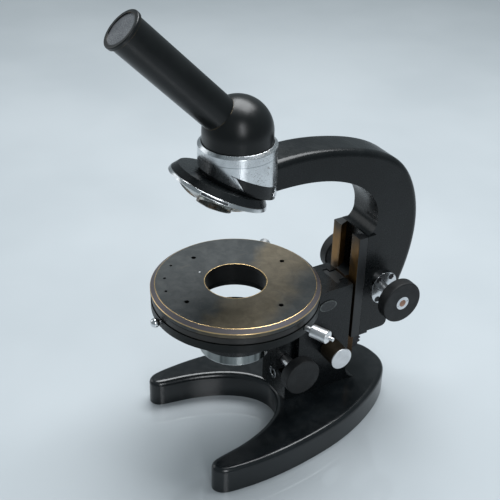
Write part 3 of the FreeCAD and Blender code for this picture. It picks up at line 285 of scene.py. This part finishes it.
def revolver_shell(name):
    """The nosepiece's underside: grey nickel, bright along its top and brown round the ports."""
    g = Graph(name)
    own = nosepiece_place(g)
    down = g.axis("Z", own)
    cloud = g.noise(8, 4, 0.6, 0.5)
    colour = g.mix(g.span(cloud, 0.35, 0.7), (0.36, 0.375, 0.36), (0.24, 0.245, 0.235))
    low = g.span(down, SHELL_BROWN_TOP, SHELL_BROWN_BOTTOM)
    browned = g.math("MULTIPLY", low, g.span(g.noise(11, 4, 0.6), 0.36, 0.6))
    colour = g.mix(browned, colour, (0.20, 0.135, 0.085))
    top_band = g.span(down, SHELL_BAND_BOTTOM, SHELL_BAND_TOP)
    colour = g.mix(top_band, colour, (0.70, 0.71, 0.72))
    roughness = g.blend(g.span(cloud, 0.35, 0.7), 0.24, 0.36)
    g.set(Base_Color=colour, Roughness=roughness, Metallic=0.9, Normal=g.bump(cloud, 0.04, 0.05))
    return g.material


def outlined_badge(name):
    """A blank oval plate in the pillar's own black, its raised edge rubbed grey."""
    g = Graph(name)
    y = g.math("MULTIPLY", g.math("SUBTRACT", g.axis("Y"), BADGE_Y), 1 / BADGE_HALF_LENGTH)
    z = g.math("MULTIPLY", g.math("SUBTRACT", g.axis("Z"), BADGE_Z), 1 / BADGE_HALF_HEIGHT)
    reach = g.math("SQRT", g.math("ADD", g.math("MULTIPLY", y, y), g.math("MULTIPLY", z, z)))
    rubbed = g.span(g.noise(2.2, 4, 0.65), 0.36, 0.6, 0.2, 1.0)
    outline = g.math("MULTIPLY", g.line_at(reach, 0.93, 0.09), rubbed)
    haze = g.faded(g.span(g.noise(1.6, 4, 0.7), 0.48, 0.7), 0.35)
    grey = g.math("MAXIMUM", outline, haze)
    colour = g.mix(grey, (0.008, 0.009, 0.010), (0.115, 0.13, 0.125))
    roughness = g.blend(grey, 0.3, 0.5)
    g.set(Base_Color=colour, Roughness=roughness, Normal=g.bump(outline, 0.1, 0.05))
    return g.material


def chrome_with_painted_reflection(name, bright, dark, rough):
    """Plating with a painted reflection of a dark room in upright bands round the axis, and a
    painted highlight along the lower rim.
    """
    g = Graph(name)
    # painted reflection: upright dark and light bands round the axis
    bands = g.noise(9, 2, 0.5, 0.2, g.stretched((1, 1, 0.02)))
    fine = g.noise(2.4, 3, 0.6, 0.0, g.stretched((1, 1, 0.05)))
    colour = g.mix(g.span(bands, 0.42, 0.58), dark, bright)
    colour = g.mix(g.faded(g.span(fine, 0.5, 0.7), 0.3), colour, dark)
    # painted highlight: a bright line along the sleeve's lower rim
    rim = g.span(g.axis("Z"), SLEEVE_HIGHLIGHT_TOP, SLEEVE_HIGHLIGHT_BOTTOM)
    colour = g.mix(rim, colour, (0.8, 0.81, 0.82))
    roughness = g.blend(g.span(fine, 0.35, 0.7), rough, rough + 0.06)
    g.set(Base_Color=colour, Roughness=roughness, Metallic=1.0, Normal=g.bump(fine, 0.03, 0.01))
    return g.material


SLATE = ((0.030, 0.034, 0.035), (0.050, 0.054, 0.054))
BROWN = ((0.088, 0.070, 0.042), (0.135, 0.108, 0.068))
STREAK_BROWN = (0.20, 0.16, 0.11)
SPOT_BLACK = (0.014, 0.014, 0.014)
BEVEL_GREY = (0.125, 0.112, 0.122)
RUBBED_GOLD = (0.85, 0.60, 0.30)
# painted shade for the walls inside the stage's holes
HOLE_SHADE = (0.006, 0.006, 0.006)


def patina_colour(g, blotch):
    """Slate patina, browned along one broad slanting band, with streaks and dark spots."""
    across = g.axis("X", g.stretched(turn=(0, 0, -38)))
    waver = g.math("SUBTRACT", g.noise(26, 4, 0.6, 0.6), 0.5)
    place = g.math("ADD", across, g.faded(waver, 0.035))
    band = g.math("MULTIPLY", g.span(place, *STAGE_BAND_NEAR), g.span(place, *STAGE_BAND_FAR))
    slate = g.mix(g.span(blotch, 0.35, 0.68), *SLATE)
    brown = g.mix(g.span(blotch, 0.32, 0.7), *BROWN)
    colour = g.mix(g.faded(band, 0.8), slate, brown)
    streak = g.noise(1.6, 4, 0.7, where=g.stretched((1, 0.08, 1), (0, 0, 24)))
    colour = g.mix(g.faded(g.span(streak, 0.58, 0.75), 0.16), colour, STREAK_BROWN)
    spots = g.span(g.noise(1.4, 3, 0.7), 0.69, 0.75)
    return g.mix(g.faded(spots, 0.35), colour, SPOT_BLACK)


def rubbed_edges(g, reach, height):
    """1 on the face's rim, the plate's lip and the hole's rim, where the brass shows through."""
    rim = g.math("MULTIPLY", g.line_at(reach, STAGE_FACE_RADIUS, 0.00032),
                 g.span(height, *STAGE_FACE_Z))
    lip = g.math("MULTIPLY", g.span(reach, *STAGE_LIP_REACH),
                 g.line_at(height, STAGE_LIP_Z, 0.0004))
    hole = g.math("MULTIPLY", g.line_at(reach, STAGE_HOLE_LINE_RADIUS, 0.00042),
                  g.span(height, *STAGE_HOLE_RIM_Z))
    edge = g.math("MAXIMUM", g.math("MAXIMUM", rim, lip), hole)
    return g.math("MULTIPLY", edge, g.span(g.noise(16, 4, 0.65), 0.25, 0.5, 0.35, 1.0))


def inside_openings(g, reach, height):
    """1 on the walls of the middle hole and of the small holes in the face, where painted shade
    goes.
    """
    middle = g.math("MULTIPLY", g.span(reach, *STAGE_HOLE_REACH), g.span(height, *STAGE_HOLE_Z))
    upright = g.math("SUBTRACT", 1.0, g.span(g.facing("Z"), 0.2, 0.6))
    small = g.math("MULTIPLY", upright, g.span(reach, *STAGE_SMALL_HOLES_REACH))
    return g.math("MAXIMUM", middle, small)


def patinated_brass(name):
    """The stage: chemically blackened brass, browned along a band and bright along its edges."""
    g = Graph(name)
    reach = g.distance_from_axis()
    height = g.axis("Z")
    blotch = g.noise(9, 6, 0.62, 0.5)
    grain = g.noise(1.1, 4, 0.65)
    colour = patina_colour(g, blotch)
    bevel = g.math("MULTIPLY", g.span(reach, *STAGE_BEVEL_REACH), g.span(height, *STAGE_BEVEL_Z))
    colour = g.mix(g.faded(bevel, 0.85), colour, BEVEL_GREY)
    edge = rubbed_edges(g, reach, height)
    colour = g.mix(edge, colour, RUBBED_GOLD)
    # painted shade: the hole walls are coloured near-black for the shade inside them
    colour = g.mix(inside_openings(g, reach, height), colour, HOLE_SHADE)
    roughness = g.blend(g.span(grain, 0.3, 0.7), 0.40, 0.52)
    roughness = g.blend(edge, roughness, 0.25)
    metal = g.blend(edge, 0.45, 1.0)
    normal = g.bump(grain, 0.07, 0.02, g.bump(blotch, 0.05, 0.05))
    g.set(Base_Color=colour, Roughness=roughness, Metallic=metal, Normal=normal)
    return g.material


BRASS_METAL = 0.75
# painted shade colour for the slides' top and bottom ends
PAINTED_SHADE_BROWN = (0.012, 0.010, 0.007)
BARE_BRASS = (0.65, 0.42, 0.2)
TOP_BLACK = (0.014, 0.016, 0.017)
OUTSIDE_BLACK = (0.010, 0.011, 0.012)


def lacquered_brass(name, face, deep, blackened=False):
    """Slide brass under brown lacquer, scraped along its travel, black on top, with painted shade
    at its top and bottom ends.

    With blackened, the sides that face away from the middle are black too.
    """
    g = Graph(name)
    along = g.noise(1.1, 4, 0.65, where=g.stretched((1, 1, 0.06)))
    cloud = g.noise(17, 4, 0.6, 0.4, g.stretched((1, 1, 0.4)))
    bright = tuple(c * 1.5 for c in face)
    colour = g.mix(g.span(cloud, 0.34, 0.68), deep, face)
    colour = g.mix(g.faded(g.span(along, 0.5, 0.75), 0.4), colour, bright)
    roughness = g.blend(g.span(along, 0.35, 0.7), 0.3, 0.46)
    height = g.axis("Z")
    # painted shade: the brass is darkened towards its top and bottom ends
    shade = g.math("MAXIMUM", g.span(height, *RAIL_PAINTED_SHADE_ABOVE),
                   g.span(height, *RAIL_PAINTED_SHADE_BELOW))
    colour = g.mix(g.faded(shade, 0.75), colour, PAINTED_SHADE_BROWN)
    edge = g.math("MULTIPLY", g.edges(0.4), g.span(g.noise(7, 4, 0.6), 0.42, 0.6))
    colour = g.mix(g.faded(edge, 0.6), colour, BARE_BRASS)
    black = g.span(g.facing("Z"), 0.5, 0.9)
    colour = g.mix(black, colour, TOP_BLACK)
    if blackened:
        outward = g.span(g.math("MULTIPLY", g.facing("X"), g.side()), 0.5, 0.8)
        black = g.math("MAXIMUM", outward, black)
        colour = g.mix(black, colour, OUTSIDE_BLACK)
        roughness = g.blend(black, roughness, 0.38)
    metal = g.blend(black, BRASS_METAL, 0.0)
    normal = g.bump(along, 0.1, 0.02)
    g.set(Base_Color=colour, Roughness=roughness, Metallic=metal, Normal=normal)
    return g.material


def knob_black(name):
    """Matt black moulding: a fine grain, and edges rubbed grey."""
    g = Graph(name)
    grain = g.noise(0.5, 3, 0.6)
    cloud = g.noise(7, 4, 0.6)
    dark, light = (0.0075, 0.008, 0.0085), (0.016, 0.017, 0.018)
    colour = g.mix(g.span(cloud, 0.35, 0.7), dark, light)
    edge = g.math("MULTIPLY", g.edges(0.6), g.span(g.noise(5, 4, 0.6), 0.4, 0.62))
    colour = g.mix(g.faded(edge, 0.5), colour, (0.07, 0.068, 0.065))
    roughness = g.blend(g.span(grain, 0.3, 0.7), 0.48, 0.6)
    normal = g.bump(grain, 0.12, 0.02)
    g.set(Base_Color=colour, Roughness=roughness, Normal=normal, Specular_IOR_Level=0.36)
    return g.material


def machined_steel(name, base, rough, metal=1.0):
    """Machined metal: fine streaks along X and a soft cloud."""
    g = Graph(name)
    lines = g.noise(0.9, 4, 0.7, where=g.stretched((0.1, 1, 1)))
    cloud = g.noise(6, 4, 0.6)
    colour = g.mix(g.span(cloud, 0.35, 0.7), tuple(c * 0.65 for c in base), base)
    roughness = g.blend(g.span(lines, 0.35, 0.7), rough, rough + 0.14)
    g.set(Base_Color=colour, Roughness=roughness, Metallic=metal, Normal=g.bump(lines, 0.08, 0.02))
    return g.material


def lens(name):
    """The eyepiece's front glass, which is dusty and grey."""
    g = Graph(name)
    dust = g.noise(0.6, 4, 0.7)
    smear = g.noise(6, 4, 0.6, 0.6, g.stretched((1, 0.4, 1), (0, 0, 30)))
    colour = g.mix(g.span(smear, 0.35, 0.7), (0.075, 0.078, 0.086), (0.115, 0.118, 0.126))
    colour = g.mix(g.faded(g.span(dust, 0.62, 0.75), 0.4), colour, (0.22, 0.22, 0.22))
    roughness = g.blend(g.span(dust, 0.4, 0.7), 0.2, 0.42)
    g.set(Base_Color=colour, Roughness=roughness, Coat_Weight=0.6, Coat_Roughness=0.08)
    return g.material


WORN_GREY = (0.085, 0.08, 0.07)
BLACK = enamel("black_enamel", (0.0032, 0.0042, 0.0048), (0.0062, 0.0078, 0.0088), 0.27,
               WORN_GREY, 0.55, dust=0.2, shine=0.32)
TUBE_BLACK = enamel("tube_enamel", (0.0034, 0.0042, 0.0045), (0.0068, 0.008, 0.0083), 0.30,
                    (0.24, 0.17, 0.09), 0.9)
FOOT_BLACK = enamel("foot_enamel", (0.0040, 0.0056, 0.0066), (0.0075, 0.0100, 0.0118), 0.2,
                    (0.07, 0.068, 0.065), 0.4, dust=0.3, shine=0.5)
STAGE_BLACK = enamel("stage_enamel", (0.0028, 0.0040, 0.0040), (0.0055, 0.0072, 0.0072), 0.38,
                     WORN_GREY, 0.5, shine=0.2)
RIM_BLACK = enamel("rim_black", (0.010, 0.009, 0.008), (0.018, 0.016, 0.014), 0.34,
                   (0.30, 0.20, 0.10), 0.6)
CHROME = chrome("chrome", (0.74, 0.75, 0.77), 0.13, 0.05)
COLLAR_CHROME = chrome("collar_chrome", (0.74, 0.76, 0.78), 0.2, 0.08, pits=0.85,
                       pit_place=towards_arm, scribed_at=COLLAR_LINE_Z)
SATIN_CHROME = chrome("satin_chrome", (0.80, 0.80, 0.81), 0.3, 0.05)
NICKEL = chrome("nickel", (0.74, 0.75, 0.76), 0.2, 0.06, pits=0.12)
RING = slotted_ring("slotted_ring")
SHELL = revolver_shell("revolver_shell")
BADGE = outlined_badge("outlined_badge")
# the sleeve's colours are painted reflection, light and dark bands of a dark room
SLEEVE_CHROME = chrome_with_painted_reflection("sleeve_chrome", (0.23, 0.25, 0.25), (0.075, 0.085, 0.085), 0.16)
STAGE_BRASS = patinated_brass("stage_brass")
RAIL_BRASS = lacquered_brass("rail_brass", (0.21, 0.105, 0.020), (0.040, 0.023, 0.008),
                             blackened=True)
BAR_BRASS = lacquered_brass("bar_brass", (0.20, 0.10, 0.035), (0.06, 0.033, 0.016))
BARREL = machined_steel("fine_barrel_brown", (0.045, 0.034, 0.022), 0.34, 0.5)
KNOB = knob_black("knob_black")
STEEL = machined_steel("steel", (0.42, 0.42, 0.42), 0.3)
DARK_STEEL = machined_steel("blued_steel", (0.05, 0.05, 0.055), 0.35, 0.8)
SCREW_BROWN = machined_steel("lacquered_screw", (0.42, 0.24, 0.17), 0.3, 0.9)
LENS = lens("eye_glass")

FINISH = {
    FOOT_BLACK: ["foot"],
    BLACK: ["pillar", "left_slide_guide", "right_slide_guide", "arm", "centring_ring",
            "nosepiece_mount", "nosepiece_cover", "condenser_carrier", "substage_slide",
            "prism_seat"],
    STAGE_BLACK: ["stage_base", "stage_bracket"],
    BADGE: ["badge"],
    RING: ["revolver_ring"],
    SHELL: ["revolver_cone"],
    SATIN_CHROME: ["centring_screw_right", "centring_screw_left", "condenser_shaft",
                   "fine_knob_caps", "stage_pin"],
    TUBE_BLACK: ["head_housing", "eyepiece_tube", "eyepiece_barrel", "eyepiece_cap"],
    KNOB: ["near_coarse_knob", "far_coarse_knob", "condenser_knob"],
    STAGE_BRASS: ["stage_top"],
    RIM_BLACK: ["stage_rim"],
    SLEEVE_CHROME: ["condenser_sleeve"],
    RAIL_BRASS: ["left_rail", "right_rail"],
    BAR_BRASS: ["dovetail_bar", "substage_rail"],
    BARREL: ["near_fine_knob", "far_fine_knob"],
    COLLAR_CHROME: ["collar"],
    CHROME: ["spring_plunger", "knob_washers", "mirror_socket", "near_flange", "far_flange"],
    NICKEL: ["nosepiece_pivot", "click_spring"],
    STEEL: ["coarse_shaft", "fine_shaft", "foot_bolts", "substage_rack",
            "coarse_pinion", "condenser_pinion"],
    DARK_STEEL: ["coarse_rack", "guide_screws", "rail_screws", "bracket_screws", "flange_screws"],
    SCREW_BROWN: ["knob_screws"],
    LENS: ["eye_lens", "field_lens", "prism"],
}


def dress(thing, material):
    thing.data.materials.clear()
    thing.data.materials.append(material)


for material, names in FINISH.items():
    for name in names:
        dress(nodes[name], material)


# ---- softened edges on the CAD pieces -----------------------------------------------------------

BEVELS_MM = {
    "arm": 0.8, "pillar": 0.7, "left_rail": 0.35, "right_rail": 0.35, "dovetail_bar": 0.3,
    "left_slide_guide": 0.35, "right_slide_guide": 0.35, "stage_base": 0.5, "stage_top": 0.35,
    "stage_rim": 0.5, "collar": 0.3, "nosepiece_mount": 0.4, "nosepiece_cover": 0.5,
    "revolver_ring": 0.3, "revolver_cone": 0.3, "near_flange": 0.5, "far_flange": 0.5,
    "near_fine_knob": 0.4, "far_fine_knob": 0.4, "fine_knob_caps": 0.5, "condenser_sleeve": 0.25,
    "condenser_carrier": 0.8, "substage_slide": 0.8, "stage_bracket": 0.4, "head_housing": 0.3,
    "eyepiece_tube": 0.2, "mirror_socket": 0.3, "condenser_shaft": 0.4, "substage_rail": 0.3,
    "badge": 0.25, "knob_washers": 0.15, "knob_screws": 0.3, "guide_screws": 0.2,
}
BEVEL_FROM_ANGLE = 32
FLAT_WITHIN_ANGLE = 0.5
WELD_DISTANCE = 1e-6
FACE_WEIGHT = 60


def soften(thing, width_mm):
    """Rounds the sharp edges by modifiers; the mesh itself stays as the CAD made it."""
    weld = thing.modifiers.new("weld", "WELD")
    weld.merge_threshold = WELD_DISTANCE
    flat = thing.modifiers.new("flat", "DECIMATE")
    flat.decimate_type = "DISSOLVE"
    flat.angle_limit = math.radians(FLAT_WITHIN_ANGLE)
    bevel = thing.modifiers.new("bevel", "BEVEL")
    bevel.width = width_mm * MM
    bevel.segments = 3
    bevel.limit_method = "ANGLE"
    bevel.angle_limit = math.radians(BEVEL_FROM_ANGLE)
    bevel.harden_normals = False
    smooth = thing.modifiers.new("normals", "WEIGHTED_NORMAL")
    smooth.keep_sharp = True
    smooth.weight = FACE_WEIGHT


for name, width in BEVELS_MM.items():
    soften(nodes[name], width)


# ---- floor, light and camera --------------------------------------------------------------------


FLOOR_SIZE = 6.0
FLOOR_COLOURS = ((0.47, 0.505, 0.53), (0.525, 0.56, 0.585))
FLOOR_IOR = 2.1
SKY = (0.66, 0.78, 0.84, 1)
SKY_STRENGTH = 0.3
COOL, COOLER = (0.95, 0.98, 1.0), (0.94, 0.97, 1.0)
# name, place, target, size, power in watts, colour
LIGHTS = (
    ("overhead", (-0.25, 0.35, 1.25), (0, 0.03, 0.1), (1.0, 0.8), 24, COOL),
    ("window", (1.25, -0.3, 0.85), (0, 0.03, 0.15), (0.35, 0.9), 6.0, COOLER),
    ("left_fill", (-1.1, -0.9, 0.7), (0, 0, 0.15), (0.9, 0.9), 3.0, COOL),
)


def make_floor():
    """A pale, smooth table top that mirrors the foot faintly."""
    bpy.ops.mesh.primitive_plane_add(size=FLOOR_SIZE, location=(0, 0, 0))
    floor = bpy.context.object
    floor.name = "floor"
    g = Graph("table_top")
    cloud = g.span(g.noise(260, 3, 0.5), 0.3, 0.7)
    colour = g.mix(cloud, *FLOOR_COLOURS)
    g.set(Base_Color=colour, Roughness=g.blend(cloud, 0.04, 0.07), IOR=FLOOR_IOR)
    dress(floor, g.material)


def area_light(name, place, target, size, power, colour):
    data = bpy.data.lights.new(name, "AREA")
    data.shape = "RECTANGLE"
    data.size, data.size_y = size
    data.energy = power
    data.color = colour
    lamp = bpy.data.objects.new(name, data)
    lamp.location = place
    lamp.rotation_mode = "QUATERNION"
    lamp.rotation_quaternion = (Vector(place) - Vector(target)).to_track_quat("Z", "Y")
    bpy.context.scene.collection.objects.link(lamp)


def make_light():
    world = bpy.data.worlds.new("studio")
    world.use_nodes = True
    background = world.node_tree.nodes["Background"]
    background.inputs["Color"].default_value = SKY
    background.inputs["Strength"].default_value = SKY_STRENGTH
    bpy.context.scene.world = world
    for light in LIGHTS:
        area_light(*light)


SENSOR_WIDTH = 36
CLIP_RANGE = (0.02, 20)

# Fitted to the photo. Angles in degrees, lengths in metres, the lens in millimetres.
CAMERA = {
    "azimuth": 59.94,
    "elevation": 31.79,
    "distance": 0.64987,
    "lens": 68.2,
    "aside": 0.00948,
    "height": 0.15786,
    "roll": 1.35,
}


def make_camera():
    a = math.radians(CAMERA["azimuth"])
    e = math.radians(CAMERA["elevation"])
    back = Vector((math.sin(a) * math.cos(e), -math.cos(a) * math.cos(e), math.sin(e)))
    right = Vector((math.cos(a), math.sin(a), 0))
    up = back.cross(right)
    r = math.radians(CAMERA["roll"])
    across = right * math.cos(r) + up * math.sin(r)
    upward = up * math.cos(r) - right * math.sin(r)
    data = bpy.data.cameras.new("camera")
    data.lens = CAMERA["lens"]
    data.sensor_width = SENSOR_WIDTH
    data.clip_start, data.clip_end = CLIP_RANGE
    camera = bpy.data.objects.new("camera", data)
    place = Vector((0, 0, CAMERA["height"])) + right * CAMERA["aside"] + back * CAMERA["distance"]
    axes = Matrix((across, upward, back)).transposed()
    camera.matrix_world = Matrix.Translation(place) @ axes.to_4x4()
    bpy.context.scene.collection.objects.link(camera)
    bpy.context.scene.camera = camera


make_floor()
make_light()
make_camera()
bpy.context.scene.view_settings.view_transform = "Standard"
